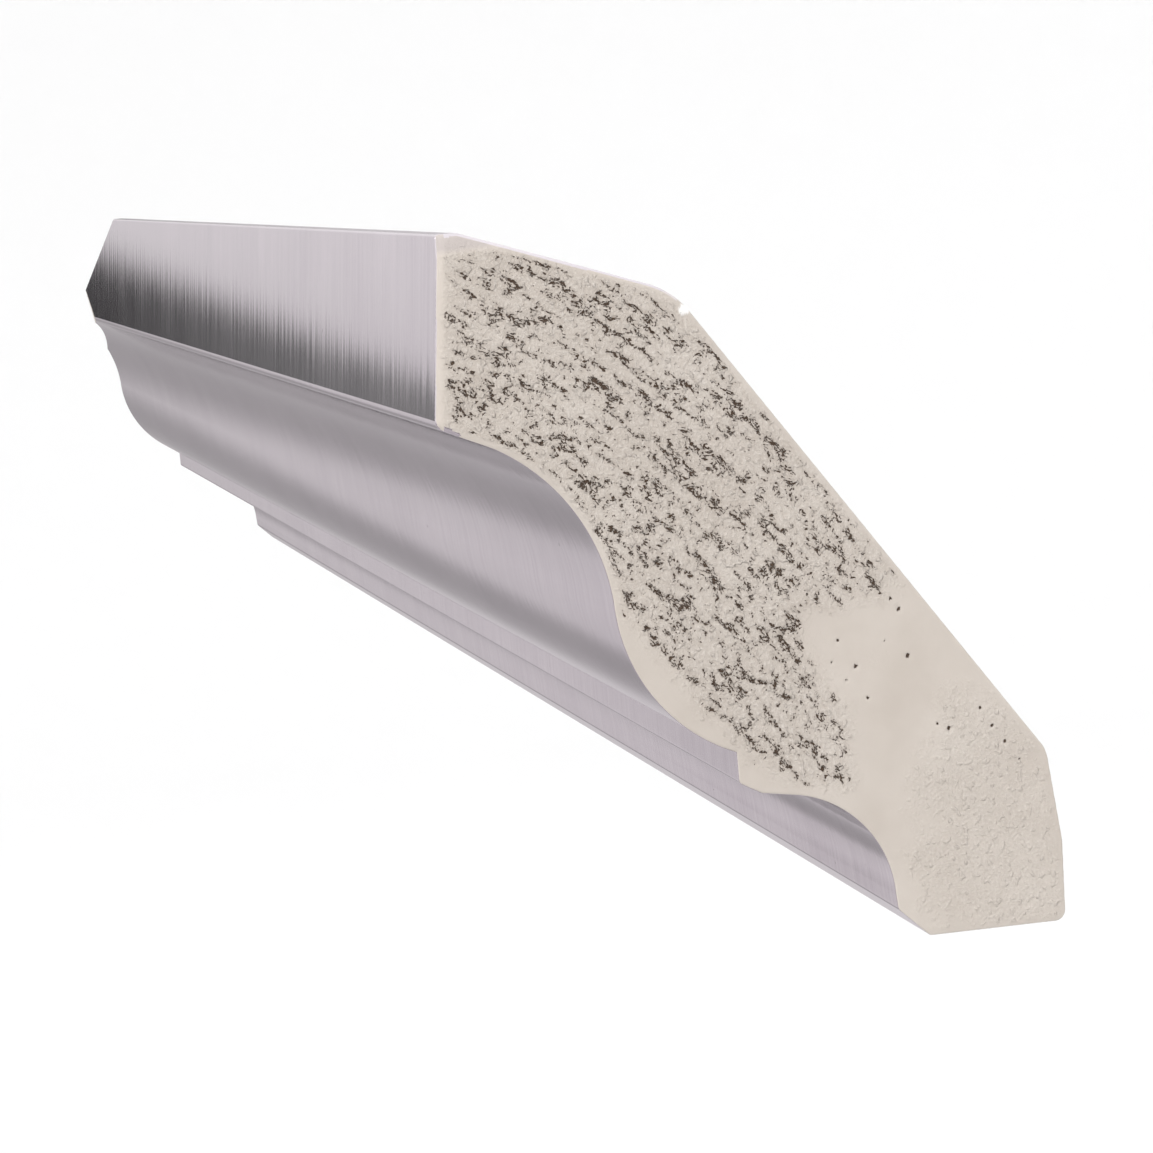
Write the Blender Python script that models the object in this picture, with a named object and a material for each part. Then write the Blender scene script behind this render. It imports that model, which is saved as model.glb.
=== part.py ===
"""A length of sprung crown moulding, one solid extrusion with sawn ends.

Frame: X runs along the length, with the near sawn end at +X. The wall stands at Y = 0 and the room
is on the -Y side. Z is up. The origin is the middle of the narrow face that bears on the wall.
"""

import math

import bmesh
import bpy
from mathutils import Vector

NODE_NAME = "crown_moulding_length"

# Overall sizes, in metres
LENGTH = 0.470
BEARING_HEIGHT = 0.005

# Corners of the section as (distance from the wall, height above the underside), room side negative
FOOT = Vector((0.0, 0.0))
UNDERSIDE_FRONT = Vector((-0.0159, 0.0))
CHAMFER_HEAD = Vector((-0.0194, 0.0033))
SMALL_COVE_FOOT = Vector((-0.0196, 0.0050))
SMALL_COVE_MIDDLE = Vector((-0.0227, 0.0128))
SMALL_COVE_HEAD = Vector((-0.0300, 0.0171))
STEP_SOFFIT = Vector((-0.0342, 0.01775))
STEP_FOOT = Vector((-0.0367, 0.0191))
STEP_HEAD = Vector((-0.0368, 0.0225))
OVOLO_MIDDLE = Vector((-0.0456, 0.0292))
WAIST = Vector((-0.0494, 0.0396))
COVE_MIDDLE = Vector((-0.0532, 0.0500))
COVE_HEAD = Vector((-0.0615, 0.0573))
FASCIA_FOOT = Vector((-0.0674, 0.0598))
FASCIA_HEAD = Vector((-0.06595, 0.0800))
LAND_BACK = Vector((-0.0637, 0.0800))
BACK_HEAD = Vector((-0.0410, 0.0725))
BACK_FOOT = Vector((-0.0014, 0.0193))
WALL_HEAD = Vector((0.0, 0.0090))

# Radii of the rounded corners
CRISP_RADIUS = 0.0003
FOOT_RADIUS = 0.0012
CHAMFER_RADIUS = 0.0008
STEP_RADIUS = 0.0005
ARRIS_RADIUS = 0.0012
BACK_HEAD_RADIUS = 0.009
BACK_FOOT_RADIUS = 0.004
WALL_HEAD_RADIUS = 0.004

# Greatest gap between a round stretch and the chords that stand for it
CHORD_GAP = 0.00002

# Slanted cut on the far end: how far along the length it reaches at three places of the section
CUT_AT_FASCIA_HEAD = 0.163
CUT_AT_FASCIA_FOOT = 0.091
CUT_AT_BACK_HEAD = 0.061

# Corner missing where that cut meets the foot of the fascia
CORNER_ON_FASCIA = Vector((-0.06705, 0.0655))
CORNER_AT_FASCIA = 0.112
CORNER_AT_FOOT = 0.131
CORNER_AT_COVE_HEAD = 0.072

# Shallow bevel on the top front corner of the near end
BEVEL_ON_FASCIA = Vector((-0.0661, 0.0777))
BEVEL_ON_TOP = Vector((-0.0581, 0.0782))
BEVEL_DEPTH = 0.0009

LACQUER_COLOUR = (0.56, 0.52, 0.55, 1.0)
LACQUER_ROUGHNESS = 0.22
LACQUER_METALLIC = 0.55
SMOOTH_ANGLE = math.radians(25)


def cross(first, second):
    """The signed area that two flat vectors span."""
    return first.x * second.y - first.y * second.x


def turn(first, second):
    """The signed angle from one flat vector to another, anticlockwise positive."""
    return math.atan2(cross(first, second), first.dot(second))


def arc(centre, start, sweep):
    """Points of an arc from start, turning by sweep radians about centre, both ends included."""
    radius = (start - centre).length
    first_angle = math.atan2(start.y - centre.y, start.x - centre.x)
    step = 2 * math.acos(1 - CHORD_GAP / radius)
    count = max(1, math.ceil(abs(sweep) / step))
    angles = [first_angle + sweep * i / count for i in range(count + 1)]
    return [centre + radius * Vector((math.cos(angle), math.sin(angle))) for angle in angles]


def arc_through(start, middle, end):
    """Points of the arc that runs from start through middle to end."""
    first, second = middle - start, end - start
    lean = first * second.length_squared - second * first.length_squared
    centre = start + Vector((-lean.y, lean.x)) / (2 * cross(first, second))
    sweep = turn(start - centre, middle - centre) + turn(middle - centre, end - centre)
    return arc(centre, start, sweep)


def rounded(before, corner, after, radius):
    """Points of the arc that rounds the corner between two straight runs."""
    back, ahead = (before - corner).normalized(), (after - corner).normalized()
    half = abs(turn(back, ahead)) / 2
    start = corner + back * radius / math.tan(half)
    end = corner + ahead * radius / math.tan(half)
    centre = corner + (back + ahead).normalized() * radius / math.sin(half)
    return arc(centre, start, turn(start - centre, end - centre))


def section():
    """The outline of the section, from the wall foot along the underside and up the room side."""
    points = rounded(WALL_HEAD, FOOT, UNDERSIDE_FRONT, FOOT_RADIUS)
    points += rounded(FOOT, UNDERSIDE_FRONT, CHAMFER_HEAD, CHAMFER_RADIUS)
    points += rounded(UNDERSIDE_FRONT, CHAMFER_HEAD, SMALL_COVE_FOOT, CHAMFER_RADIUS)
    points += arc_through(SMALL_COVE_FOOT, SMALL_COVE_MIDDLE, SMALL_COVE_HEAD)
    points.append(STEP_SOFFIT)
    points += rounded(STEP_SOFFIT, STEP_FOOT, STEP_HEAD, STEP_RADIUS)
    points += arc_through(STEP_HEAD, OVOLO_MIDDLE, WAIST)
    points += arc_through(WAIST, COVE_MIDDLE, COVE_HEAD)[1:]
    points += rounded(COVE_HEAD, FASCIA_FOOT, FASCIA_HEAD, ARRIS_RADIUS)
    points += rounded(FASCIA_FOOT, FASCIA_HEAD, LAND_BACK, CRISP_RADIUS)
    points += rounded(FASCIA_HEAD, LAND_BACK, BACK_HEAD, CRISP_RADIUS)
    points += rounded(LAND_BACK, BACK_HEAD, BACK_FOOT, BACK_HEAD_RADIUS)
    points += rounded(BACK_HEAD, BACK_FOOT, WALL_HEAD, BACK_FOOT_RADIUS)
    points += rounded(BACK_FOOT, WALL_HEAD, FOOT, WALL_HEAD_RADIUS)
    return points


def placed(x, point):
    """A section point put at x along the length, measured from the origin on the bearing face."""
    return Vector((x, point.x, point.y - BEARING_HEIGHT))


def cut(mesh, points, kept):
    """Cuts the mesh by the plane through three points, keeps the side of kept and closes it."""
    normal = (points[1] - points[0]).cross(points[2] - points[0]).normalized()
    if normal.dot(kept - points[0]) > 0:
        normal.negate()
    everything = mesh.verts[:] + mesh.edges[:] + mesh.faces[:]
    found = bmesh.ops.bisect_plane(
        mesh, geom=everything, dist=1e-7, plane_co=points[0], plane_no=normal, clear_outer=True
    )
    rim = [item for item in found["geom_cut"] if isinstance(item, bmesh.types.BMEdge)]
    bmesh.ops.contextual_create(mesh, geom=[edge for edge in rim if edge.is_boundary])


def moulding_mesh():
    """The extruded section with its near bevel and the cuts on its far end."""
    near, far = LENGTH / 2, -LENGTH / 2
    mesh = bmesh.new()
    rim = [mesh.verts.new(placed(near, point)) for point in section()]
    end = mesh.faces.new(rim)
    grown = bmesh.ops.extrude_face_region(mesh, geom=[end], use_keep_orig=True)
    moved = [item for item in grown["geom"] if isinstance(item, bmesh.types.BMVert)]
    bmesh.ops.translate(mesh, verts=moved, vec=Vector((far - near, 0, 0)))
    bmesh.ops.recalc_face_normals(mesh, faces=mesh.faces[:])

    heart = placed(0.0, (WAIST + BACK_FOOT) / 2)
    cut(mesh, (
        placed(far + CUT_AT_FASCIA_HEAD, FASCIA_HEAD),
        placed(far + CUT_AT_FASCIA_FOOT, FASCIA_FOOT),
        placed(far + CUT_AT_BACK_HEAD, BACK_HEAD),
    ), heart)
    cut(mesh, (
        placed(far + CORNER_AT_FASCIA, CORNER_ON_FASCIA),
        placed(far + CORNER_AT_FOOT, FASCIA_FOOT),
        placed(far + CORNER_AT_COVE_HEAD, COVE_HEAD),
    ), heart)
    cut(mesh, (
        placed(near, BEVEL_ON_FASCIA),
        placed(near, BEVEL_ON_TOP),
        placed(near - BEVEL_DEPTH, FASCIA_HEAD),
    ), heart)
    bmesh.ops.recalc_face_normals(mesh, faces=mesh.faces[:])
    return mesh


def lacquer_material():
    """The pearly silver lacquer of the room side, the colour that the length is known by."""
    material = bpy.data.materials.new("silver_lacquer")
    material.use_nodes = True
    shader = material.node_tree.nodes["Principled BSDF"]
    shader.inputs["Base Color"].default_value = LACQUER_COLOUR
    shader.inputs["Roughness"].default_value = LACQUER_ROUGHNESS
    shader.inputs["Metallic"].default_value = LACQUER_METALLIC
    return material


def main():
    for thing in list(bpy.data.objects):
        bpy.data.objects.remove(thing, do_unlink=True)
    mesh = moulding_mesh()
    data = bpy.data.meshes.new(NODE_NAME)
    mesh.to_mesh(data)
    mesh.free()
    data.materials.append(lacquer_material())
    data.shade_smooth()
    data.set_sharp_from_angle(angle=SMOOTH_ANGLE)
    bpy.context.scene.collection.objects.link(bpy.data.objects.new(NODE_NAME, data))


main()
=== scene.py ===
"""The looks of a crown moulding length: pearly silver lacquer on the room side, painted sawn ends.

Frame: X runs along the length with the near sawn end at +X, the wall stands at Y = 0 with the room on
the -Y side, and Z is up. Section points are (distance from the wall, height above the underside).
"""

import logging
import math
from dataclasses import dataclass, field
from enum import Enum, IntEnum

import bpy
import numpy as np
from mathutils import Matrix, Vector
from mathutils.kdtree import KDTree


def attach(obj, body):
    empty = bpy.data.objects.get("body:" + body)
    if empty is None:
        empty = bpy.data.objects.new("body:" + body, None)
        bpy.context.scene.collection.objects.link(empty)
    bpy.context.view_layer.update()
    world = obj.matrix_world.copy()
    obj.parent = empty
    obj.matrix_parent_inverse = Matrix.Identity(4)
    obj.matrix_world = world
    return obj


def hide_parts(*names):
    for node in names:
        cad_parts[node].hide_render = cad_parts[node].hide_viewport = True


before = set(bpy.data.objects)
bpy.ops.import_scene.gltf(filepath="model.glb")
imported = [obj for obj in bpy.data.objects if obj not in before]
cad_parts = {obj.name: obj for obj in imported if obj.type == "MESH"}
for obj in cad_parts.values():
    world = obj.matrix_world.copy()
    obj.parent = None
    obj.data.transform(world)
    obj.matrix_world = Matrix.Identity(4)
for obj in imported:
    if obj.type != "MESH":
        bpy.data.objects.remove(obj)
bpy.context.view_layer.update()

MM = 0.001
log = logging.getLogger("moulding")


class Coat(IntEnum):
    """The finishes of the piece, in the order of its material slots."""

    LACQUER = 0
    NEAR_PAINT = 1
    BACK_PRIMER = 2
    FAR_PAINT = 3


class Sum(Enum):
    """Sums that a node sheet can do on plain numbers."""

    ADD = "ADD"
    TAKE = "SUBTRACT"
    TIMES = "MULTIPLY"
    MOST = "MAXIMUM"
    POWER = "POWER"
    SIZE = "ABSOLUTE"
    ANGLE = "ARCTAN2"


# Flat geometry of the section


def cross(first: Vector, second: Vector) -> float:
    """The signed area that two flat vectors span."""
    return first.x * second.y - first.y * second.x


def turn(first: Vector, second: Vector) -> float:
    """The signed angle from one flat vector to another, anticlockwise positive."""
    return math.atan2(cross(first, second), first.dot(second))


def arc(centre: Vector, start: Vector, sweep: float, gap: float) -> list[Vector]:
    """Lays out an arc as a chain of points.

    Args:
        centre: The middle of the circle.
        start: The first point of the arc.
        sweep: How far it turns, in radians, anticlockwise positive.
        gap: The distance between two points along the arc.

    Returns:
        The points, both ends included.
    """
    radius = (start - centre).length
    first_angle = math.atan2(start.y - centre.y, start.x - centre.x)
    count = max(2, math.ceil(abs(sweep) * radius / gap))
    angles = [first_angle + sweep * i / count for i in range(count + 1)]
    return [centre + radius * Vector((math.cos(angle), math.sin(angle))) for angle in angles]


def arc_through(start: Vector, middle: Vector, end: Vector, gap: float) -> list[Vector]:
    """Lays out the arc that runs through three points.

    Args:
        start: The first point.
        middle: A point on the way.
        end: The last point.
        gap: The distance between two points along the arc.

    Returns:
        The points, both ends included.
    """
    first, second = middle - start, end - start
    lean = first * second.length_squared - second * first.length_squared
    centre = start + Vector((-lean.y, lean.x)) / (2 * cross(first, second))
    sweep = turn(start - centre, middle - centre) + turn(middle - centre, end - centre)
    return arc(centre, start, sweep, gap)


def rounded(before: Vector, corner: Vector, after: Vector, radius: float, gap: float) -> list[Vector]:
    """Rounds the corner between two straight runs.

    Args:
        before: A point on the run that reaches the corner.
        corner: The sharp corner.
        after: A point on the run that leaves it.
        radius: The radius of the rounding.
        gap: The distance between two points along the arc.

    Returns:
        The points of the rounding, both ends included.
    """
    back, ahead = (before - corner).normalized(), (after - corner).normalized()
    half = abs(turn(back, ahead)) / 2
    start = corner + back * radius / math.tan(half)
    end = corner + ahead * radius / math.tan(half)
    centre = corner + (back + ahead).normalized() * radius / math.sin(half)
    return arc(centre, start, turn(start - centre, end - centre), gap)


def smoothstep(values: np.ndarray, low: float, high: float) -> np.ndarray:
    """A soft step from 0 at low to 1 at high."""
    share = np.clip((values - low) / (high - low), 0.0, 1.0)
    return share * share * (3.0 - 2.0 * share)


@dataclass(frozen=True)
class Section:
    """The outline of the moulding across its length, in metres."""

    foot: Vector = Vector((0.0, 0.0))
    underside_front: Vector = Vector((-0.0159, 0.0))
    chamfer_head: Vector = Vector((-0.0194, 0.0033))
    small_cove_foot: Vector = Vector((-0.0196, 0.0050))
    small_cove_middle: Vector = Vector((-0.0227, 0.0128))
    small_cove_head: Vector = Vector((-0.0300, 0.0171))
    step_soffit: Vector = Vector((-0.0342, 0.01775))
    step_foot: Vector = Vector((-0.0367, 0.0191))
    step_head: Vector = Vector((-0.0368, 0.0225))
    ovolo_middle: Vector = Vector((-0.0456, 0.0292))
    waist: Vector = Vector((-0.0494, 0.0396))
    cove_middle: Vector = Vector((-0.0532, 0.0500))
    cove_head: Vector = Vector((-0.0615, 0.0573))
    fascia_foot: Vector = Vector((-0.0674, 0.0598))
    fascia_head: Vector = Vector((-0.06595, 0.0800))
    land_back: Vector = Vector((-0.0637, 0.0800))
    back_head: Vector = Vector((-0.0410, 0.0725))
    back_foot: Vector = Vector((-0.0014, 0.0193))
    wall_head: Vector = Vector((0.0, 0.0090))
    crisp: float = 0.0003
    foot_radius: float = 0.0012
    chamfer_radius: float = 0.0008
    step_radius: float = 0.0005
    arris_radius: float = 0.0012
    back_head_radius: float = 0.009
    back_foot_radius: float = 0.004
    wall_head_radius: float = 0.004
    bearing_height: float = 0.005
    gap: float = 0.00004

    def front(self) -> list[Vector]:
        """Lays out the room side, from the underside up to the foot of the fascia.

        Returns:
            Its points in order.
        """
        gap = self.gap
        points = rounded(self.foot, self.underside_front, self.chamfer_head, self.chamfer_radius, gap)
        points += rounded(
            self.underside_front, self.chamfer_head, self.small_cove_foot, self.chamfer_radius, gap
        )
        points += arc_through(self.small_cove_foot, self.small_cove_middle, self.small_cove_head, gap)
        points.append(self.step_soffit)
        points += rounded(self.step_soffit, self.step_foot, self.step_head, self.step_radius, gap)
        points += arc_through(self.step_head, self.ovolo_middle, self.waist, gap)
        points += arc_through(self.waist, self.cove_middle, self.cove_head, gap)[1:]
        points += rounded(self.cove_head, self.fascia_foot, self.fascia_head, self.arris_radius, gap)
        return points

    def back(self) -> list[Vector]:
        """Lays out the wall side and the top, from the underside round to the head of the fascia.

        Returns:
            Its points in order.
        """
        gap = self.gap
        points = rounded(self.underside_front, self.foot, self.wall_head, self.foot_radius, gap)
        points += rounded(self.foot, self.wall_head, self.back_foot, self.wall_head_radius, gap)
        points += rounded(self.wall_head, self.back_foot, self.back_head, self.back_foot_radius, gap)
        points += rounded(self.back_foot, self.back_head, self.land_back, self.back_head_radius, gap)
        points += rounded(self.back_head, self.land_back, self.fascia_head, self.crisp, gap)
        points += rounded(self.land_back, self.fascia_head, self.fascia_foot, self.crisp, gap)
        return points


def along(chain: list[Vector], shares: np.ndarray) -> np.ndarray:
    """Finds the points at some shares of a chain's length.

    Args:
        chain: The chain of points.
        shares: Shares of its length, from 0 to 1.

    Returns:
        One row of two coordinates for each share.
    """
    points = np.array([tuple(point) for point in chain])
    reach = np.concatenate([[0.0], np.cumsum(np.linalg.norm(np.diff(points, axis=0), axis=1))])
    wanted = np.asarray(shares) * reach[-1]
    return np.stack([np.interp(wanted, reach, points[:, axis]) for axis in (0, 1)], axis=1)


def graded(count: int, first_steps: tuple[float, ...]) -> np.ndarray:
    """Shares from 0 to 1 that lie closer together at both ends.

    Args:
        count: How many steps there are in all.
        first_steps: The shares reached by the first few steps from either end.

    Returns:
        One more share than there are steps.
    """
    ends = np.array(first_steps)
    middle = np.linspace(ends[-1], 1.0 - ends[-1], count - 2 * len(ends) + 1)
    return np.concatenate([[0.0], ends[:-1], middle, 1.0 - ends[:-1][::-1], [1.0]])


class Grain:
    """Seeded gradient noise on a flat sheet, for relief that the mesh itself carries."""

    SIZE = 512

    def __init__(self, seed: int) -> None:
        """Draws the lattice of slopes.

        Args:
            seed: The number that fixes the pattern.
        """
        chance = np.random.default_rng(seed)
        self.order = np.tile(chance.permutation(self.SIZE), 2)
        angles = chance.uniform(0.0, 2.0 * math.pi, self.SIZE)
        self.slopes = np.stack([np.cos(angles), np.sin(angles)], axis=-1)

    def plain(self, across: np.ndarray, up: np.ndarray) -> np.ndarray:
        """One layer of noise, from about -1 to 1.

        Args:
            across: First coordinates, one feature to each unit.
            up: Second coordinates.

        Returns:
            The noise at each point.
        """
        left, low = np.floor(across).astype(int), np.floor(up).astype(int)
        x, y = across - left, up - low
        u, v = x**3 * (x * (x * 6 - 15) + 10), y**3 * (y * (y * 6 - 15) + 10)

        def corner(i: int, j: int) -> np.ndarray:
            """Works out the pull of one lattice corner.

            Args:
                i: Steps to it on the first axis, 0 or 1.
                j: Steps to it on the second axis, 0 or 1.

            Returns:
                The pull at each point.
            """
            inner = self.order[(left + i) % self.SIZE] + low + j
            slope = self.slopes[self.order[inner % self.SIZE]]
            return slope[..., 0] * (x - i) + slope[..., 1] * (y - j)

        bottom = corner(0, 0) * (1 - u) + corner(1, 0) * u
        top = corner(0, 1) * (1 - u) + corner(1, 1) * u
        return 1.5 * (bottom * (1 - v) + top * v)

    def __call__(self, across: np.ndarray, up: np.ndarray, layers: int = 2) -> np.ndarray:
        """Several layers of noise, each half the size and strength of the one before.

        Args:
            across: First coordinates, one feature to each unit.
            up: Second coordinates.
            layers: How many layers are added.

        Returns:
            The noise at each point, from about -1 to 1.
        """
        total, weight, strength = np.zeros_like(across), 0.0, 1.0
        for layer in range(layers):
            total += strength * self.plain(across * 2**layer + 17.3 * layer, up * 2**layer - 9.1 * layer)
            weight, strength = weight + strength, strength * 0.5
        return total / weight


@dataclass(frozen=True)
class SawnGrain:
    """The open end grain of the core, in millimetres from the wall and above the underside."""

    ring_centre: tuple[float, float] = (-113.0, -22.0)
    ring_radius: float = 115.0
    porous_edge: tuple[tuple[float, float], ...] = (
        (-65, 78), (-57, 78), (-48, 75), (-38, 69), (-30, 60), (-21, 48), (-16, 41), (-21, 38),
        (-29, 37.5), (-29, 34), (-26, 28), (-24, 23), (-24.5, 18.5), (-30, 18.5), (-35, 22), (-39, 27),
        (-43, 31), (-46, 36), (-48, 39), (-50, 44), (-52, 49), (-55, 52), (-59, 56), (-65, 59), (-66, 63),
    )
    gritty_edge: tuple[tuple[float, float], ...] = (
        (-13, 27), (-5, 26), (-1, 18), (1, 7), (1, -1), (-15, -1), (-18, 9), (-16, 20),
    )
    lone_pores: tuple[tuple[float, float, float], ...] = (
        (-24.8, 33.6, 0.20), (-16.9, 31.2, 0.30), (-22.9, 30.6, 0.26), (-21.7, 27.0, 0.22),
        (-25.6, 31.3, 0.16), (-17.7, 36.4, 0.30), (-18.6, 37.6, 0.22), (-12.6, 22.8, 0.28),
        (-13.9, 23.4, 0.18), (-8.9, 24.7, 0.20), (-7.6, 22.6, 0.22), (-6.2, 20.7, 0.24),
        (-0.9, 13.6, 0.18), (-19.5, 33.0, 0.14), (-24.0, 29.2, 0.16), (-4.6, 18.6, 0.14),
    )
    dab_place: tuple[float, float] = (-39.9, 70.4)
    dab_radius: float = 0.65
    pore_depth: float = 0.08
    grit_height: float = 0.08

    def ring_places(self, y: np.ndarray, z: np.ndarray) -> tuple[np.ndarray, np.ndarray]:
        """Places along and across the growth rings.

        Args:
            y: Distances from the wall, in millimetres.
            z: Heights above the underside, in millimetres.

        Returns:
            Distances along the ring and out from its centre, in millimetres.
        """
        out = np.hypot(y - self.ring_centre[0], z - self.ring_centre[1])
        round_it = -np.arctan2(z - self.ring_centre[1], y - self.ring_centre[0]) * self.ring_radius
        return round_it, out

    @staticmethod
    def depth_inside(edge: tuple[tuple[float, float], ...], y: np.ndarray, z: np.ndarray) -> np.ndarray:
        """How far points lie inside a closed edge, negative outside.

        Args:
            edge: The corners of the edge.
            y: Distances from the wall.
            z: Heights above the underside.

        Returns:
            The distance to the edge from each point.
        """
        corners = np.array(edge)
        inside, nearest = np.zeros(y.shape, bool), np.full(y.shape, 1e9)
        for start, end in zip(corners, np.roll(corners, -1, axis=0)):
            run = end - start
            share = np.clip(((y - start[0]) * run[0] + (z - start[1]) * run[1]) / (run @ run), 0, 1)
            gap = np.hypot(y - start[0] - share * run[0], z - start[1] - share * run[1])
            nearest = np.minimum(nearest, gap)
            crosses = (start[1] > z) != (end[1] > z)
            rise = np.where(end[1] == start[1], 1.0, end[1] - start[1])
            inside ^= crosses & (y < (z - start[1]) * run[0] / rise + start[0])
        return np.where(inside, nearest, -nearest)

    def openness(self, y: np.ndarray, z: np.ndarray) -> np.ndarray:
        """How open the pores are: above 0 they show.

        Args:
            y: Distances from the wall, in millimetres.
            z: Heights above the underside, in millimetres.

        Returns:
            The openness at each point.
        """
        s, r = self.ring_places(y, z)
        s = s + 0.45 * Grain(6)(s / 3.0, r / 3.0, 1)
        r = r + 0.45 * Grain(5)(s / 4.0, r / 4.0, 1)
        inside = self.depth_inside(self.porous_edge, y, z) / 2.2 + 0.5 * Grain(21)(s / 3.0, r / 2.0, 2)
        strings = 0.66 * Grain(1)(s / 6.5, r / 1.05, 2)
        patches = 0.22 * Grain(4)(s / 4.0, r / 3.0, 2)
        clusters = 0.50 * Grain(2)(s / 1.3, r / 0.75, 1)
        return strings + patches + clusters + 0.9 * np.clip(inside - 0.2, -1.4, 0.0)

    def grit(self, y: np.ndarray, z: np.ndarray) -> np.ndarray:
        """How rough the paint is, from 0 where it lies smooth to 1.

        Args:
            y: Distances from the wall, in millimetres.
            z: Heights above the underside, in millimetres.

        Returns:
            The roughness at each point.
        """
        cloud = Grain(31)(y / 5.0, z / 5.0, 2)
        porous = smoothstep(self.depth_inside(self.porous_edge, y, z) + 1.5 * cloud, -2.0, 1.0)
        gritty = smoothstep(self.depth_inside(self.gritty_edge, y, z) + 4.0 * cloud, -2.0, 3.0)
        return np.maximum(porous, 0.75 * gritty)

    def lone(self, y: np.ndarray, z: np.ndarray) -> np.ndarray:
        """The single pores in the smooth paint.

        Args:
            y: Distances from the wall, in millimetres.
            z: Heights above the underside, in millimetres.

        Returns:
            How deep in such a pore each point lies, from 0 to 1.
        """
        ragged = 1.0 + 0.5 * Grain(41)(y / 0.25, z / 0.25, 1)
        found = np.zeros(y.shape)
        for across, up, radius in self.lone_pores:
            gap = np.hypot(y - across, z - up) / (radius * ragged)
            found = np.maximum(found, np.exp(-gap * gap))
        return found

    def dab(self, y: np.ndarray, z: np.ndarray) -> np.ndarray:
        """The little dab of white filler by the top corner of the back.

        Args:
            y: Distances from the wall, in millimetres.
            z: Heights above the underside, in millimetres.

        Returns:
            How much of the dab covers each point, from 0 to 1.
        """
        ragged = 1.0 + 0.5 * Grain(51)(y / 0.5, z / 0.5, 2)
        gap = np.hypot(y - self.dab_place[0], z - self.dab_place[1]) / (self.dab_radius * ragged)
        return 1.0 - smoothstep(gap, 0.7, 1.1)

    def relief(self, y: np.ndarray, z: np.ndarray) -> np.ndarray:
        """Heights of the painted end over the sawn plane.

        Args:
            y: Distances from the wall, in millimetres.
            z: Heights above the underside, in millimetres.

        Returns:
            The height at each point, in millimetres.
        """
        grit = self.grit(y, z)
        pores = smoothstep(self.openness(y, z), 0.05, 0.45)
        crumbs = Grain(8)(y / 1.6, z / 1.6, 2)
        swell = 0.03 * Grain(10)(y / 6.0, z / 6.0, 2)
        height = swell - self.pore_depth * pores + self.grit_height * grit * crumbs
        return height + 0.08 * self.dab(y, z) - 0.15 * self.lone(y, z)


# Small tools for work in edit mode


def edit(piece: bpy.types.Object, select: str = "NONE") -> None:
    """Opens one piece in edit mode.

    Args:
        piece: The object to open.
        select: What is selected there, NONE or ALL.
    """
    bpy.ops.object.select_all(action="DESELECT")
    piece.select_set(True)
    bpy.context.view_layer.objects.active = piece
    bpy.ops.object.mode_set(mode="EDIT")
    bpy.ops.mesh.select_mode(type="VERT")
    bpy.ops.mesh.select_all(action="SELECT" if select == "ALL" else "DESELECT")


def leave_edit() -> None:
    """Goes back to object mode."""
    bpy.ops.object.mode_set(mode="OBJECT")


def places(data: bpy.types.Mesh) -> np.ndarray:
    """Reads the coordinates of a mesh's points.

    Args:
        data: The mesh to read.

    Returns:
        One row of three coordinates for each point.
    """
    found = np.empty(len(data.vertices) * 3)
    data.vertices.foreach_get("co", found)
    return found.reshape(-1, 3)


def lay(data: bpy.types.Mesh, points: np.ndarray) -> None:
    """Puts a mesh's points at new coordinates."""
    data.vertices.foreach_set("co", points.astype(np.float32).ravel())
    data.update()


def note(data: bpy.types.Mesh, name: str, values: np.ndarray) -> None:
    """Keeps a number for each point of a mesh, under a name."""
    layer = data.attributes.get(name) or data.attributes.new(name, "FLOAT", "POINT")
    layer.data.foreach_set("value", values.astype(np.float32))


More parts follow.
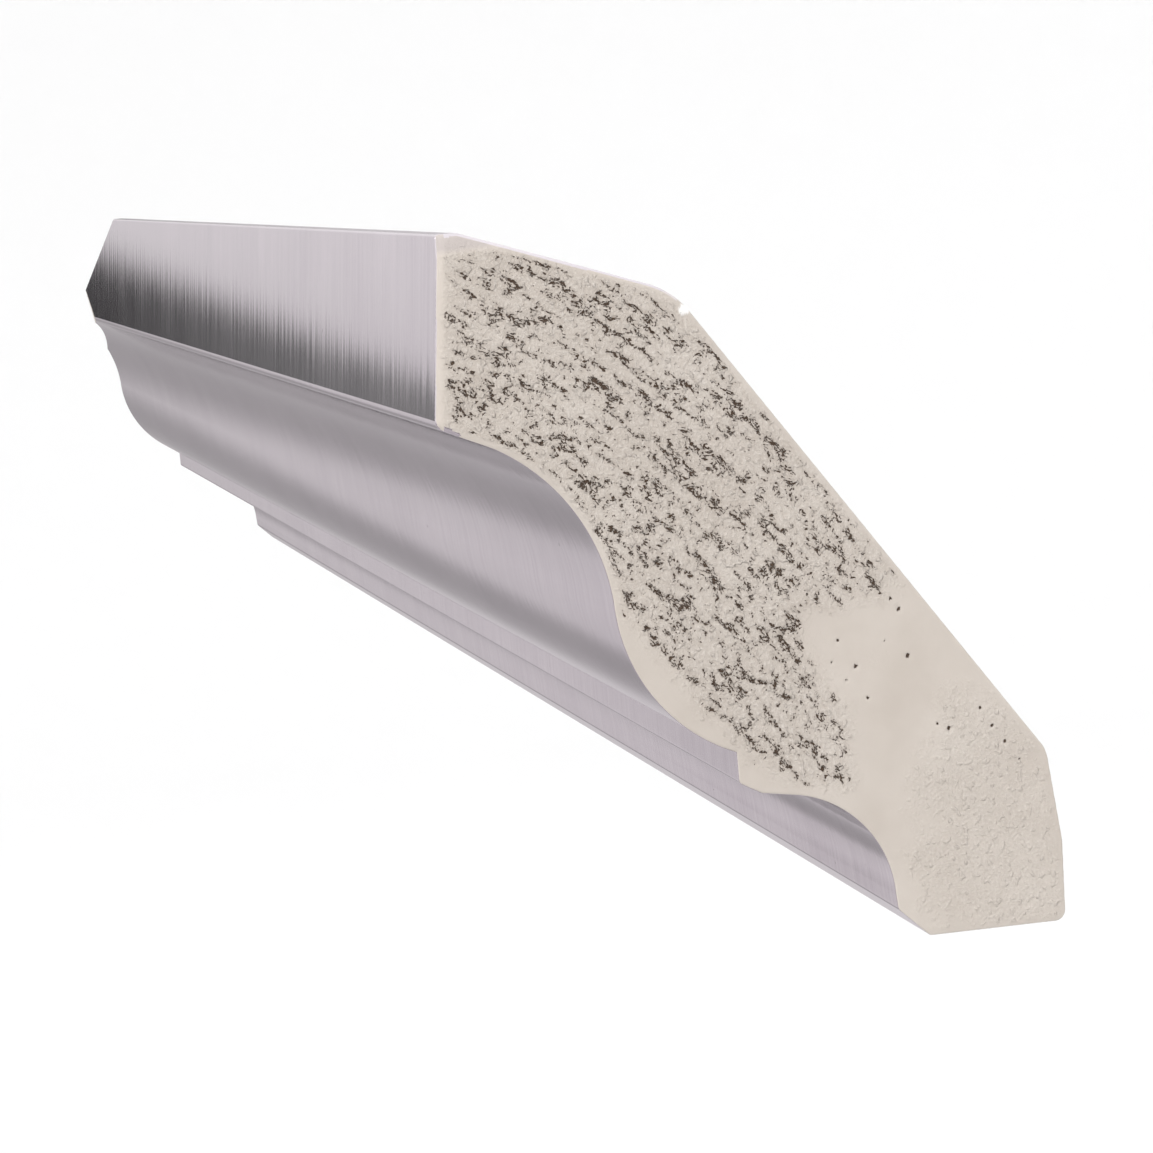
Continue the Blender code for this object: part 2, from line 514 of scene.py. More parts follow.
@dataclass
class Moulding:
    """The one solid piece: its sawn near end, its length and its cut far end."""

    section: Section = field(default_factory=Section)
    grain: SawnGrain = field(default_factory=SawnGrain)
    length: float = 0.470
    columns: int = 600
    rows: int = 136
    fascia_wrap: float = 0.95
    top_wrap: float = 0.42
    back_wrap: float = 0.28
    front_wrap: float = 0.22
    lacquered_wrap: tuple[float, float] = (0.12, 0.75)
    outline_steps: int = 6000
    seam: float = 0.00006
    near_ring: float = 0.004
    far_ring: float = 0.0003
    cut_at_fascia_head: float = 0.163
    cut_at_fascia_foot: float = 0.091
    cut_at_back_head: float = 0.061
    corner_on_fascia: Vector = Vector((-0.06705, 0.0655))
    corner_at_fascia: float = 0.112
    corner_at_foot: float = 0.131
    corner_at_cove_head: float = 0.072
    facet_on_fascia: Vector = Vector((-0.0661, 0.0777))
    facet_on_top: Vector = Vector((-0.0581, 0.0782))
    facet_depth: float = 0.0009

    @property
    def near(self) -> float:
        """Where the near sawn end stands along X."""
        return self.length / 2

    @property
    def far(self) -> float:
        """Where the far sawn end stands along X."""
        return -self.length / 2

    def placed(self, x: float, point: Vector) -> Vector:
        """A section point put at x along the length."""
        return Vector((x, point.x, point.y - self.section.bearing_height))

    def build(self) -> bpy.types.Object:
        """Makes the whole piece.

        Returns:
            The finished object, with its finishes still to come.
        """
        piece = self.near_end()
        self.draw_out(piece)
        self.cut_far_end(piece)
        self.give_coats(piece)
        self.smooth(piece)
        return piece

    def sheet_places(self) -> tuple[np.ndarray, np.ndarray]:
        """Where the points of the near end's sheet lie on the section, in millimetres.

        Returns:
            Distances from the wall and heights above the underside, by row and column.
        """
        columns = graded(self.columns, (0.0004, 0.0011, 0.0020, 0.0031, 0.0044, 0.0059))
        rows = graded(self.rows, (0.002, 0.005, 0.009, 0.014, 0.020))[:, None, None]
        front = along(self.section.front(), columns)[None]
        back = along(self.section.back(), columns)[None]
        spots = (front * (1.0 - rows) + back * rows) / MM
        return spots[..., 0], spots[..., 1]

    def wrap_radii(self, y: np.ndarray, z: np.ndarray) -> np.ndarray:
        """How far the paint rounds over the rim of the near end.

        Args:
            y: Distances from the wall of places on the outline, in millimetres.
            z: Their heights above the underside.

        Returns:
            The radius at each place, in millimetres.
        """
        on_fascia = smoothstep(-y, 63.5, 66.6) * smoothstep(z, 56.5, 61.5)
        on_top = smoothstep(z, 70.0, 73.0) * (1.0 - on_fascia)
        on_back = smoothstep(y + 0.75 * z, 7.0, 12.0) * (1.0 - on_top) * (1.0 - on_fascia)
        rest = 1.0 - on_fascia - on_top - on_back
        radii = self.fascia_wrap * on_fascia + self.top_wrap * on_top
        return radii + self.back_wrap * on_back + self.front_wrap * rest

    def near_end(self) -> bpy.types.Object:
        """Makes the sawn near end as a fine sheet with its pores, bumps and rounded rim.

        Returns:
            The object, which holds the sheet alone.
        """
        bpy.ops.object.select_all(action="DESELECT")
        bpy.ops.mesh.primitive_grid_add(
            x_subdivisions=self.columns, y_subdivisions=self.rows, size=0.1, location=(0, 0, 0)
        )
        piece = bpy.context.object
        piece.name = piece.data.name = "moulding"
        y, z = (spots.ravel() for spots in self.sheet_places())

        outline = self.section.front() + self.section.back()[::-1]
        outline = along(outline + outline[:1], np.linspace(0.0, 1.0, self.outline_steps)) / MM
        tree = KDTree(len(outline))
        for index, point in enumerate(outline):
            tree.insert((point[0], point[1], 0.0), index)
        tree.balance()
        found = [tree.find((a, b, 0.0)) for a, b in zip(y, z)]
        rim_gap = np.array([hit[2] for hit in found])
        rim_place = outline[[hit[1] for hit in found]]

        wrap = self.wrap_radii(rim_place[:, 0], rim_place[:, 1])
        over = np.clip(1.0 - rim_gap / wrap, 0.0, 1.0)
        rim = -wrap * (1.0 - np.sqrt(1.0 - over * over))
        clear = smoothstep(rim_gap, 0.1, 0.9)
        relief = self.grain.relief(y, z) * clear
        x = self.near + (rim + relief) * MM + self.facet(y, z)
        lay(piece.data, np.stack([x, y * MM, z * MM - self.section.bearing_height], axis=1))

        openness = self.grain.openness(y, z) - 2.0 * (1.0 - clear)
        note(piece.data, "openness", np.where(clear > 0, openness, -2.0))
        note(piece.data, "grit", self.grain.grit(y, z) * clear)
        note(piece.data, "lone_pore", self.grain.lone(y, z) * clear)
        note(piece.data, "dab", self.grain.dab(y, z))
        # This facet mask also drives the painted shade that darkens the facet in the end paint.
        note(piece.data, "facet", np.clip(-self.facet(y, z) / (0.3 * self.facet_depth), 0.0, 1.0))
        note(piece.data, "rim_gap", rim_gap)
        note(piece.data, "wrap", wrap)
        return piece

    def facet(self, y: np.ndarray, z: np.ndarray) -> np.ndarray:
        """The shallow facet on the top front corner of the near end.

        Args:
            y: Distances from the wall, in millimetres.
            z: Heights above the underside, in millimetres.

        Returns:
            How far each point is taken back along the length, in metres, zero or less.
        """
        start, run = self.facet_on_fascia, self.facet_on_top - self.facet_on_fascia
        reach = cross(run, self.section.fascia_head - start)
        share = (run.x * (z * MM - start.y) - run.y * (y * MM - start.x)) / reach
        soft = 0.5 * (share + np.sqrt(share * share + 0.002))
        return -self.facet_depth * np.where(share > -0.5, soft, 0.0)

    def draw_out(self, piece: bpy.types.Object) -> None:
        """Draws the rim of the near end out into the length of the moulding.

        Args:
            piece: The object that holds the sheet of the near end.
        """
        edit(piece)
        bpy.ops.mesh.select_non_manifold()
        bpy.ops.mesh.extrude_region_move(TRANSFORM_OT_translate={"value": (-self.seam, 0.0, 0.0)})
        for station in (self.near - self.near_ring, self.far + self.far_ring, self.far):
            bpy.ops.mesh.extrude_region_move(TRANSFORM_OT_translate={"value": (-0.001, 0.0, 0.0)})
            bpy.ops.transform.resize(value=(0.0, 1.0, 1.0), center_override=(station, 0.0, 0.0))
            leave_edit()
            spots = places(piece.data)
            chosen = np.zeros(len(spots), bool)
            piece.data.vertices.foreach_get("select", chosen)
            spots[chosen, 0] = station
            lay(piece.data, spots)
            bpy.ops.object.mode_set(mode="EDIT")
        bpy.ops.mesh.edge_face_add()
        leave_edit()

    def far_planes(self) -> list[tuple[Vector, Vector]]:
        """The long slanted cut on the far end, and the corner missing at its foot.

        Returns:
            A place on each plane and the normal that points at what is taken away.
        """
        section, far = self.section, self.far
        slant = (
            self.placed(far + self.cut_at_fascia_head, section.fascia_head),
            self.placed(far + self.cut_at_fascia_foot, section.fascia_foot),
            self.placed(far + self.cut_at_back_head, section.back_head),
        )
        corner = (
            self.placed(far + self.corner_at_fascia, self.corner_on_fascia),
            self.placed(far + self.corner_at_foot, section.fascia_foot),
            self.placed(far + self.corner_at_cove_head, section.cove_head),
        )
        heart = self.placed(0.0, (section.waist + section.back_foot) / 2)
        planes = []
        for first, second, third in (slant, corner):
            normal = (second - first).cross(third - first).normalized()
            planes.append((first, -normal if normal.dot(heart - first) > 0 else normal))
        return planes

    def cut_far_end(self, piece: bpy.types.Object) -> None:
        """Cuts the far end of the fascia away.

        Args:
            piece: The object to cut.
        """
        for place, normal in self.far_planes():
            edit(piece, "ALL")
            bpy.ops.mesh.bisect(plane_co=place, plane_no=normal, use_fill=True, clear_outer=True)
            leave_edit()
        edit(piece, "ALL")
        bpy.ops.mesh.normals_make_consistent(inside=False)
        leave_edit()

    def give_coats(self, piece: bpy.types.Object) -> None:
        """Sorts the faces by the finish that covers them.

        Args:
            piece: The object with all its faces.
        """
        data = piece.data
        count = len(data.polygons)
        normals, middles = np.empty(count * 3), np.empty(count * 3)
        data.polygons.foreach_get("normal", normals)
        data.polygons.foreach_get("center", middles)
        normals, middles = normals.reshape(-1, 3), middles.reshape(-1, 3)
        y, z = middles[:, 1] / MM, (middles[:, 2] + self.section.bearing_height) / MM
        coats = np.full(count, int(Coat.LACQUER))
        behind = (y + 0.75 * z > 7.0) & (z < 72.5) | (normals[:, 2] < -0.95) & (z < 1.0)
        coats[behind] = int(Coat.BACK_PRIMER)

        gaps, wraps = np.empty(len(data.vertices)), np.empty(len(data.vertices))
        data.attributes["rim_gap"].data.foreach_get("value", gaps)
        data.attributes["wrap"].data.foreach_get("value", wraps)
        first = np.array([face.vertices[0] for face in data.polygons])
        on_sheet = (middles[:, 0] > self.near - 0.003) & (normals[:, 0] > 0.02) & (gaps[first] > 0.02)
        wide = wraps[first] > 0.5 * (self.top_wrap + self.back_wrap)
        fascia = wraps[first] > 0.5 * (self.top_wrap + self.fascia_wrap)
        wrapped = gaps[first] < np.where(fascia, *self.lacquered_wrap) * wraps[first]
        coats[on_sheet & ~(wrapped & wide)] = int(Coat.NEAR_PAINT)

        sawn = (normals[:, 0] < -0.9) & (middles[:, 0] < self.far + 0.001)
        for place, normal in self.far_planes():
            faces_it = normals @ np.array(normal) > 0.999
            lies_in_it = np.abs((middles - place) @ np.array(normal)) < 1e-5
            sawn |= faces_it & lies_in_it
        coats[sawn] = int(Coat.FAR_PAINT)
        data.polygons.foreach_set("material_index", coats.astype(np.int32))

    def smooth(self, piece: bpy.types.Object) -> None:
        """Shades the piece smooth and keeps the far cuts crisp.

        Args:
            piece: The object with its coats sorted.
        """
        data = piece.data
        edit(piece, "ALL")
        bpy.ops.mesh.faces_shade_smooth()
        bpy.ops.mesh.select_mode(type="FACE")
        bpy.ops.mesh.select_all(action="DESELECT")
        leave_edit()
        for face in data.polygons:
            face.select = face.material_index == int(Coat.FAR_PAINT)
        bpy.ops.object.mode_set(mode="EDIT")
        bpy.ops.mesh.region_to_loop()
        bpy.ops.mesh.mark_sharp()
        leave_edit()


class NodeSheet:
    """The node tree of one finish, with short names for the nodes that it needs."""

    def __init__(self, name: str) -> None:
        """Starts a material whose shader is the usual one.

        Args:
            name: The name of the material.
        """
        self.material = bpy.data.materials.new(name)
        self.material.use_nodes = True
        self.tree = self.material.node_tree
        self.shader = self.tree.nodes["Principled BSDF"]
        self.place = self.tree.nodes.new("ShaderNodeTexCoord").outputs["Object"]

    def set(self, socket: bpy.types.NodeSocket, value: object) -> None:
        """Links a socket to another, or gives it a plain value.

        Args:
            socket: The socket to fill.
            value: The other socket, or the value.
        """
        if isinstance(value, bpy.types.NodeSocket):
            self.tree.links.new(value, socket)
        else:
            socket.default_value = value

    def sum(self, kind: Sum, first: object, second: object = 0.0, clamp: bool = False) -> object:
        """Does one sum.

        Args:
            kind: Which sum.
            first: A socket or a number.
            second: A socket or a number.
            clamp: Whether the result is kept from 0 to 1.

        Returns:
            The socket with the result.
        """
        node = self.tree.nodes.new("ShaderNodeMath")
        node.operation, node.use_clamp = kind.value, clamp
        self.set(node.inputs[0], first)
        self.set(node.inputs[1], second)
        return node.outputs[0]

    def spread(
        self, value: object, low: float, high: float, out_low: float = 0.0, out_high: float = 1.0
    ) -> object:
        """Spreads a range of values over another.

        Args:
            value: The socket to read.
            low: The value that gives out_low.
            high: The value that gives out_high.
            out_low: The least result.
            out_high: The greatest result.

        Returns:
            The socket with the result, kept in its range.
        """
        node = self.tree.nodes.new("ShaderNodeMapRange")
        for socket, number in zip(node.inputs, (value, low, high, out_low, out_high)):
            self.set(socket, number)
        return node.outputs[0]

    def stretched(self, vector: object, scale: tuple[float, float, float]) -> object:
        """Stretches coordinates.

        Args:
            vector: The socket with the coordinates.
            scale: What they are multiplied by along each axis.

        Returns:
            The socket with the new coordinates.
        """
        node = self.tree.nodes.new("ShaderNodeMapping")
        self.set(node.inputs["Vector"], vector)
        node.inputs["Scale"].default_value = scale
        return node.outputs[0]

    def noise(
        self, vector: object, scale: float, detail: float = 2.0, roughness: float = 0.5, warp: float = 0.0
    ) -> object:
        """Cloudy noise.

        Args:
            vector: The coordinates to read it at.
            scale: Features to a unit of the coordinates.
            detail: How many finer layers it has.
            roughness: How strong the finer layers are.
            warp: How far it is drawn out of shape.

        Returns:
            The socket with the noise, about 0.5 in the middle.
        """
        node = self.tree.nodes.new("ShaderNodeTexNoise")
        self.set(node.inputs["Vector"], vector)
        settings = {"Scale": scale, "Detail": detail, "Roughness": roughness, "Distortion": warp}
        for name, value in settings.items():
            node.inputs[name].default_value = value
        return node.outputs["Fac"]

    def blend(self, share: object, first: object, second: object) -> object:
        """Mixes two colours.

        Args:
            share: How much of the second shows.
            first: A colour or a socket.
            second: A colour or a socket.

        Returns:
            The socket with the mixed colour.
        """
        node = self.tree.nodes.new("ShaderNodeMix")
        node.data_type = "RGBA"
        self.set(node.inputs["Factor"], share)
        self.set(node.inputs[6], first)
        self.set(node.inputs[7], second)
        return node.outputs[2]

    def noted(self, name: str) -> object:
        """Reads the number that the mesh keeps under a name.

        Args:
            name: The name that it was noted under.

        Returns:
            The socket with the number.
        """
        node = self.tree.nodes.new("ShaderNodeAttribute")
        node.attribute_name = name
        return node.outputs["Fac"]

    def split(self, vector: object) -> tuple[object, object, object]:
        """Takes a vector apart.

        Args:
            vector: The socket with the vector.

        Returns:
            The sockets of its three parts.
        """
        node = self.tree.nodes.new("ShaderNodeSeparateXYZ")
        self.set(node.inputs[0], vector)
        return node.outputs[0], node.outputs[1], node.outputs[2]

    def joined(self, x: object, y: object, z: object) -> object:
        """Makes a vector of three parts.

        Args:
            x: The first part, a socket or a number.
            y: The second part.
            z: The third part.

        Returns:
            The socket with the vector.
        """
        node = self.tree.nodes.new("ShaderNodeCombineXYZ")
        for socket, value in zip(node.inputs, (x, y, z)):
            self.set(socket, value)
        return node.outputs[0]

    def bump(self, height: object, distance: float, strength: float = 1.0, under: object = None) -> object:
        """Tilts the surface by a height.

        Args:
            height: The socket with the height, from 0 to 1.
            distance: How far 1 stands up, in metres.
            strength: How much of it shows.
            under: The socket of another bump that this one lies on.

        Returns:
            The socket with the tilted normal.
        """
        node = self.tree.nodes.new("ShaderNodeBump")
        node.inputs["Strength"].default_value = strength
        node.inputs["Distance"].default_value = distance
        self.set(node.inputs["Height"], height)
        if under is not None:
            self.set(node.inputs["Normal"], under)
        return node.outputs["Normal"]


class SkySheet(NodeSheet):
    """The node tree of the light that comes from all round."""

    def __init__(self, name: str) -> None:
        """Starts a world and puts it in the scene.

        Args:
            name: The name of the world.
        """
        world = bpy.data.worlds.new(name)
        world.use_nodes = True
        bpy.context.scene.world = world
        self.tree = world.node_tree
        self.shader = self.tree.nodes["Background"]
        self.place = self.tree.nodes.new("ShaderNodeTexCoord").outputs["Generated"]

    def ramp(
        self, value: object, stops: tuple[tuple[float, float], ...], tint: tuple[float, float, float]
    ) -> object:
        """Brightness that follows a value from -0.5 to 0.5.

        Args:
            value: The socket to read.
            stops: Pairs of a value and the brightness there.
            tint: What brightness under 1 is multiplied by in red, green and blue.

        Returns:
            The socket with the colour.
        """
        node = self.tree.nodes.new("ShaderNodeValToRGB")
        self.set(node.inputs[0], self.sum(Sum.ADD, value, 0.5))
        elements = node.color_ramp.elements
        while len(elements) < len(stops):
            elements.new(0.5)
        for element, (position, light) in zip(elements, stops):
            element.position = position + 0.5
            element.color = (*(light * part if light < 1.0 else light for part in tint), 1.0)
        return node.outputs[0]


Colour = tuple[float, float, float, float]


@dataclass(frozen=True)
class SilverLacquer:
    """Pearly silver lacquer with fine streaks across the length."""

    name: str = "silver_lacquer"
    pale: Colour = (0.70, 0.655, 0.685, 1.0)
    deep: Colour = (0.60, 0.555, 0.59, 1.0)
    speck: Colour = (0.16, 0.14, 0.15, 1.0)
    metallic: float = 0.90
    roughness: tuple[float, float] = (0.04, 0.085)
    streak_height: float = 0.0000045
    peel_height: float = 0.0000012

    def material(self) -> bpy.types.Material:
        """Mixes the lacquer.

        Returns:
            The finished material.
        """
        sheet = NodeSheet(self.name)
        streaks = sheet.noise(sheet.stretched(sheet.place, (1500.0, 40.0, 40.0)), 1.0, 2.0, 0.6)
        broad = sheet.noise(sheet.stretched(sheet.place, (420.0, 18.0, 18.0)), 1.0, 2.0, 0.5)
        cloud = sheet.noise(sheet.place, 45.0, 3.0, 0.55)
        peel = sheet.noise(sheet.place, 2600.0, 2.0, 0.5)
        specks = sheet.spread(sheet.noise(sheet.place, 900.0, 1.0), 0.80, 0.83)

        tone = sheet.sum(Sum.ADD, sheet.sum(Sum.TIMES, streaks, 0.5), sheet.sum(Sum.TIMES, cloud, 0.5))
        colour = sheet.blend(sheet.spread(tone, 0.35, 0.65), self.deep, self.pale)
        colour = sheet.blend(sheet.sum(Sum.TIMES, specks, 0.6), colour, self.speck)
        sheet.set(sheet.shader.inputs["Base Color"], colour)
        sheet.set(sheet.shader.inputs["Roughness"], sheet.spread(tone, 0.3, 0.7, *self.roughness))
        sheet.shader.inputs["Metallic"].default_value = self.metallic

        waves = sheet.bump(broad, self.streak_height * 3.0)
        lines = sheet.bump(streaks, self.streak_height, under=waves)
        sheet.set(sheet.shader.inputs["Normal"], sheet.bump(peel, self.peel_height, under=lines))
        return sheet.material


@dataclass(frozen=True)
class EndPaint:
    """Matt cream paint over sawn end grain, with dark open pores along the growth rings."""

    name: str
    from_mesh: bool
    cream: Colour = (0.500, 0.447, 0.398, 1.0)
    pale: Colour = (0.640, 0.590, 0.540, 1.0)
    # Stain of soaked end grain; the same colour is also the painted shade in the lows between crumbs.
    stain_and_crumb_shade: Colour = (0.37, 0.31, 0.26, 1.0)
    # Painted shade for the top front facet: a darker mauve grey.
    painted_facet_shade: Colour = (0.44, 0.395, 0.375, 1.0)
    pore: Colour = (0.070, 0.044, 0.028, 1.0)
    white: Colour = (0.86, 0.85, 0.83, 1.0)
    roughness: tuple[float, float] = (0.62, 0.76)
    pore_depth: float = 0.00025
    crumb_height: float = 0.00022
    blob_height: float = 0.00016
    grain: SawnGrain = field(default_factory=SawnGrain)
    bearing_height: float = 0.005

    def ring_vector(self, sheet: NodeSheet) -> object:
        """Coordinates along and across the growth rings, in millimetres, a little out of true.

        Args:
            sheet: The node sheet to work on.

        Returns:
            The socket with the coordinates.
        """
        across, up = (value * MM for value in self.grain.ring_centre)
        x, y, z = sheet.split(sheet.place)
        y = sheet.sum(Sum.TAKE, y, across)
        z = sheet.sum(Sum.TAKE, z, up - self.bearing_height)
        squares = sheet.sum(Sum.ADD, sheet.sum(Sum.POWER, y, 2.0), sheet.sum(Sum.POWER, z, 2.0))
        out = sheet.sum(Sum.TIMES, sheet.sum(Sum.POWER, squares, 0.5), 1000.0)
        round_it = sheet.sum(Sum.TIMES, sheet.sum(Sum.ANGLE, z, y), -self.grain.ring_radius)
        wander = sheet.noise(sheet.place, 330.0, 1.0)
        wander = sheet.sum(Sum.TIMES, sheet.sum(Sum.TAKE, wander, 0.5), 1.6)
        return sheet.joined(
            sheet.sum(Sum.ADD, round_it, wander),
            sheet.sum(Sum.ADD, out, wander),
            sheet.sum(Sum.TIMES, x, 60.0),
        )

    def material(self) -> bpy.types.Material:
        """Mixes the paint.

        Returns:
            The finished material.
        """
        sheet = NodeSheet(self.name)
        rings = self.ring_vector(sheet)
        if self.from_mesh:
            openness, grit, lone, dab = (
                sheet.noted(name) for name in ("openness", "grit", "lone_pore", "dab")
            )
        else:
            strings = sheet.noise(sheet.stretched(rings, (0.14, 0.7, 1.0)), 1.0, 2.0)
            patches = sheet.noise(sheet.place, 110.0, 2.0)
            strings = sheet.spread(strings, 0.2, 0.8, -1.0, 1.0)
            openness = sheet.sum(Sum.ADD, strings, sheet.spread(patches, 0.2, 0.8, -0.9, 0.5))
            grit = sheet.spread(patches, 0.35, 0.6)
            lone = dab = None

        lines_at = sheet.stretched(rings, (0.8, 1.9, 1.0))
        lines = sheet.sum(Sum.SIZE, sheet.sum(Sum.TAKE, sheet.noise(lines_at, 1.0, 3.0, 0.6), 0.5))
        lines = sheet.spread(lines, 0.020, 0.042, 1.0, 0.0)
        holes = sheet.noise(sheet.stretched(rings, (1.2, 2.0, 1.0)), 1.5, 2.0, 0.5)
        tiny = sheet.noise(rings, 3.2, 2.0)
        gate = sheet.sum(Sum.ADD, openness, sheet.spread(tiny, 0.2, 0.8, -0.42, 0.42))
        gate = sheet.spread(gate, 0.13, 0.26)
        holes = sheet.sum(Sum.ADD, holes, sheet.sum(Sum.TIMES, gate, 0.14))
        holes = sheet.spread(holes, 0.67, 0.71)
        pores = sheet.sum(Sum.TIMES, gate, sheet.sum(Sum.MOST, lines, holes))
        if lone is not None:
            pores = sheet.sum(Sum.MOST, pores, sheet.spread(lone, 0.45, 0.70))

        cloud = sheet.noise(sheet.place, 90.0, 3.0, 0.6)
        crumbs = sheet.noise(sheet.place, 3000.0, 3.0, 0.6)
        # Painted light on the crumbly paint: painted highlights on the crumb tops and painted shade in the
        # lows between them, from the noise that also raises the crumb bumps.
        painted_crumb_highlights = sheet.sum(Sum.TIMES, sheet.spread(crumbs, 0.55, 0.66), grit)
        painted_crumb_shade = sheet.sum(Sum.TIMES, sheet.spread(crumbs, 0.46, 0.36), grit)
        blobs = sheet.sum(Sum.TIMES, sheet.spread(sheet.noise(sheet.place, 1200.0, 1.0), 0.57, 0.72), grit)
        cloudy = sheet.spread(cloud, 0.3, 0.7, 0.0, 0.4)
        colour = sheet.blend(cloudy, self.cream, self.pale)
        soaked = sheet.sum(Sum.TIMES, sheet.spread(openness, -0.35, 0.35), 0.35)
        colour = sheet.blend(soaked, colour, self.stain_and_crumb_shade)
        # Painted shade in the crumb lows, then painted highlights on the crumb tops.
        colour = sheet.blend(sheet.sum(Sum.TIMES, painted_crumb_shade, 0.22), colour, self.stain_and_crumb_shade)
        colour = sheet.blend(sheet.sum(Sum.TIMES, painted_crumb_highlights, 0.65), colour, self.pale)
        if dab is not None:
            # Painted shade: the facet on the top front corner is darkened towards a mauve grey.
            colour = sheet.blend(sheet.noted("facet"), colour, self.painted_facet_shade)
            colour = sheet.blend(dab, colour, self.white)
        colour = sheet.blend(pores, colour, self.pore)
        sheet.set(sheet.shader.inputs["Base Color"], colour)
        sheet.set(sheet.shader.inputs["Roughness"], sheet.spread(cloud, 0.2, 0.8, *self.roughness))
        sheet.shader.inputs["Specular IOR Level"].default_value = 0.35

        crumbly = sheet.sum(Sum.TIMES, crumbs, sheet.spread(grit, 0.0, 1.0, 0.10, 1.0))
        fine = sheet.bump(crumbly, self.crumb_height)
        raised = sheet.bump(blobs, self.blob_height, under=fine)
        pits = sheet.bump(sheet.sum(Sum.TAKE, 1.0, pores), self.pore_depth, under=raised)
        sheet.set(sheet.shader.inputs["Normal"], pits)
        return sheet.material


@dataclass(frozen=True)
class BackPrimer:
    """Thin cream primer over planed timber, on the faces that lie against wall and ceiling."""

    name: str = "back_primer"
    cream: Colour = (0.60, 0.545, 0.485, 1.0)
    thin: Colour = (0.50, 0.43, 0.355, 1.0)
    mist: Colour = (0.58, 0.54, 0.565, 1.0)
    roughness: tuple[float, float] = (0.55, 0.75)

    def material(self) -> bpy.types.Material:
        """Mixes the primer.

        Returns:
            The finished material.
        """
        sheet = NodeSheet(self.name)
        fibres = sheet.noise(sheet.stretched(sheet.place, (22.0, 1300.0, 1300.0)), 1.0, 3.0, 0.6)
        knives = sheet.noise(sheet.stretched(sheet.place, (260.0, 6.0, 6.0)), 1.0, 1.0)
        cloud = sheet.noise(sheet.place, 26.0, 3.0, 0.55)
        share = sheet.sum(Sum.ADD, sheet.sum(Sum.TIMES, fibres, 0.6), sheet.sum(Sum.TIMES, cloud, 0.4))
        colour = sheet.blend(sheet.spread(share, 0.48, 0.66), self.cream, self.thin)
        _, y, z = sheet.split(sheet.place)
        edge = sheet.sum(Sum.ADD, sheet.spread(z, 0.058, 0.069), sheet.spread(y, -0.0125, -0.0165))
        edge = sheet.sum(Sum.TIMES, edge, sheet.spread(cloud, 0.3, 0.6), clamp=True)
        colour = sheet.blend(sheet.sum(Sum.TIMES, edge, 0.7), colour, self.mist)
        sheet.set(sheet.shader.inputs["Base Color"], colour)
        sheet.set(sheet.shader.inputs["Roughness"], sheet.spread(fibres, 0.3, 0.7, *self.roughness))
        waves = sheet.bump(knives, 0.00004)
        sheet.set(sheet.shader.inputs["Normal"], sheet.bump(fibres, 0.00003, under=waves))
        return sheet.material


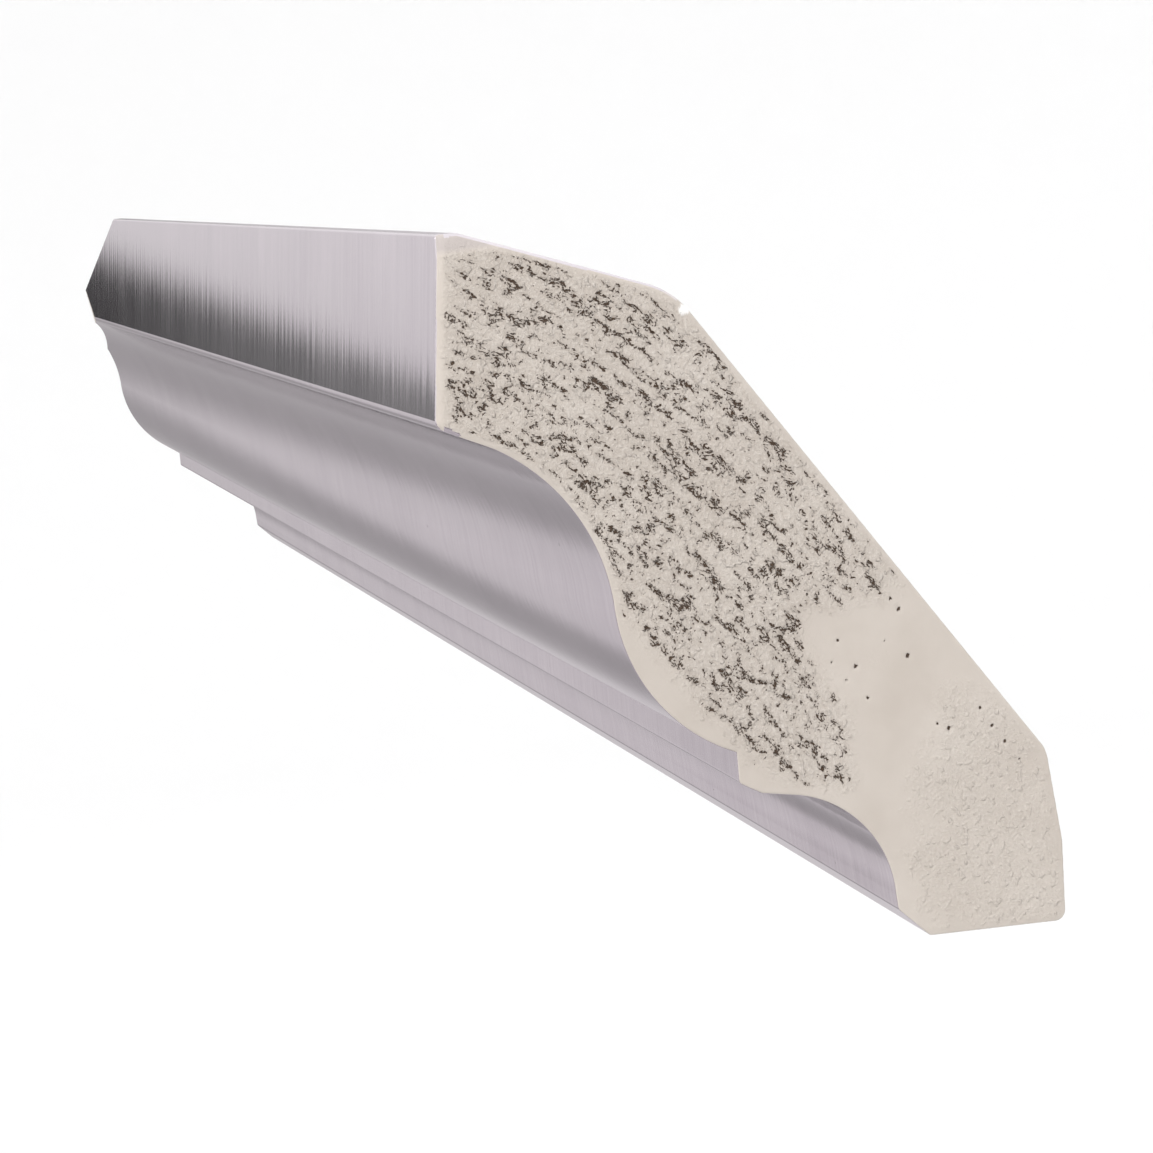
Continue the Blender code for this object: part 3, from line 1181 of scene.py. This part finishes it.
@dataclass
class Studio:
    """The pale sweep, the lights and the camera."""

    floor: float = -0.7
    radius: float = 6.0
    height: float = 5.0
    sweep: float = 2.0
    focal_pixels: float = 3500.0
    frame_pixels: float = 1153.0
    sensor: float = 36.0
    horizon_fall: float = 0.027
    horizon_lean: float = -0.30
    horizon_rise: float = 0.982
    band_foot: tuple[float, float] = (-0.034, -0.028)
    band_head: tuple[float, float] = (-0.005, 0.002)
    key_place: Vector = Vector((0.55, -0.70, 0.85))
    key_size: float = 0.30
    key_power: float = 7.0
    fill_place: Vector = Vector((1.10, 0.55, 0.15))
    fill_size: float = 0.80
    fill_power: float = 1.0
    lit_place: Vector = Vector((0.18, -0.035, 0.035))
    above: tuple[tuple[float, float], ...] = ((0.0, 0.68), (0.05, 0.80), (0.40, 1.20), (0.50, 1.30))
    below: tuple[tuple[float, float], ...] = (
        (-0.30, 0.56), (-0.21, 0.68), (-0.12, 0.60), (-0.08, 0.42), (-0.05, 0.355), (0.0, 0.35),
        (0.06, 0.40), (0.14, 0.58), (0.25, 0.64),
    )
    camera_place: Vector = Vector((0.5930, -0.1382, 0.0830))
    camera_right: Vector = Vector((0.23737, 0.96957, -0.05997))
    camera_up: Vector = Vector((-0.10379, 0.08669, 0.99082))

    def build(self) -> None:
        """Sets up everything that isn't the moulding."""
        self.sweep_round()
        self.sky()
        self.lamp("key", self.key_place, self.key_size, self.key_power)
        self.lamp("fill", self.fill_place, self.fill_size, self.fill_power)
        self.camera()

    def sweep_round(self) -> None:
        """Makes the pale floor and the backdrop it curves up into, all round."""
        bpy.ops.object.select_all(action="DESELECT")
        bpy.ops.mesh.primitive_cylinder_add(
            vertices=96, radius=self.radius, depth=self.height, end_fill_type="NGON",
            location=(0.0, 0.0, self.floor + self.height / 2),
        )
        floor = bpy.context.object
        floor.name = floor.data.name = "floor_sweep"
        bpy.ops.object.transform_apply(location=True, rotation=True, scale=True)
        edit(floor)
        bpy.ops.mesh.select_mode(type="FACE")
        leave_edit()
        for face in floor.data.polygons:
            face.select = face.normal.z > 0.9
        bpy.ops.object.mode_set(mode="EDIT")
        bpy.ops.mesh.delete(type="ONLY_FACE")
        leave_edit()
        for face in floor.data.polygons:
            face.select = face.normal.z < -0.9
        bpy.ops.object.mode_set(mode="EDIT")
        bpy.ops.mesh.region_to_loop()
        bpy.ops.mesh.bevel(offset=self.sweep, segments=16, profile=0.5)
        bpy.ops.mesh.select_all(action="SELECT")
        bpy.ops.mesh.normals_make_consistent(inside=True)
        bpy.ops.mesh.faces_shade_smooth()
        leave_edit()
        sheet = NodeSheet("pale_sweep")
        cloud = sheet.noise(sheet.place, 0.6, 2.0)
        colour = sheet.blend(cloud, (0.90, 0.90, 0.90, 1.0), (0.92, 0.92, 0.92, 1.0))
        sheet.set(sheet.shader.inputs["Base Color"], colour)
        sheet.shader.inputs["Roughness"].default_value = 0.9
        floor.data.materials.clear()
        floor.data.materials.append(sheet.material)
        floor.visible_glossy = False

    def sky(self) -> None:
        """Lights the room evenly, with a dark band low down that glossy faces mirror."""
        sheet = SkySheet("studio")
        x, y, z = sheet.split(sheet.place)
        parts = ((x, self.horizon_fall), (z, self.horizon_rise))
        level = sheet.sum(Sum.ADD, *(sheet.sum(Sum.TIMES, part, share) for part, share in parts))
        level = sheet.sum(Sum.ADD, level, sheet.sum(Sum.TIMES, y, self.horizon_lean))
        above = sheet.ramp(level, self.above, (1.0, 0.955, 0.985))
        below = sheet.ramp(y, self.below, (1.0, 0.945, 0.980))
        band = sheet.spread(y, -0.20, -0.10, 0.17, 0.012)
        colour = sheet.blend(sheet.spread(level, *self.band_head), band, above)
        colour = sheet.blend(sheet.spread(level, *self.band_foot, 1.0, 0.0), colour, below)
        sheet.set(sheet.shader.inputs["Color"], colour)

    def lamp(self, name: str, place: Vector, size: float, power: float) -> None:
        """Hangs one soft square lamp that looks at the moulding's near end.

        Args:
            name: The lamp's name.
            place: Where it hangs.
            size: Its width, in metres.
            power: Its power, in watts.
        """
        bpy.ops.object.light_add(type="AREA", location=place)
        lamp = bpy.context.object
        lamp.name = lamp.data.name = name
        lamp.rotation_euler = (self.lit_place - place).to_track_quat("-Z", "Y").to_euler()
        lamp.data.shape, lamp.data.size, lamp.data.energy = "SQUARE", size, power
        lamp.visible_camera = False

    def camera(self) -> None:
        """Stands the camera where the photograph was taken from."""
        right = self.camera_right.normalized()
        up = (self.camera_up - right * self.camera_up.dot(right)).normalized()
        back = right.cross(up)
        bpy.ops.object.camera_add()
        camera = bpy.context.object
        camera.name = camera.data.name = "camera"
        turned = Matrix((right, up, back)).transposed().to_4x4()
        camera.matrix_world = Matrix.Translation(self.camera_place) @ turned
        camera.data.sensor_fit = "HORIZONTAL"
        camera.data.sensor_width = self.sensor
        camera.data.lens = self.focal_pixels * self.sensor / self.frame_pixels
        camera.data.clip_start, camera.data.clip_end = 0.01, 50.0
        bpy.context.scene.camera = camera


def main() -> None:
    """Builds the moulding and the studio."""
    logging.basicConfig(level=logging.INFO, format="%(name)s: %(message)s")
    bpy.context.scene.view_settings.view_transform = "Standard"

    piece = Moulding().build()
    for finish in (
        SilverLacquer(),
        EndPaint("near_end_paint", from_mesh=True),
        BackPrimer(),
        EndPaint("far_end_paint", from_mesh=False),
    ):
        piece.data.materials.append(finish.material())
    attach(piece, "root")
    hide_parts("crown_moulding_length")
    log.info("%s: %d points", piece.name, len(piece.data.vertices))

    Studio().build()


if __name__ == "__main__":
    main()
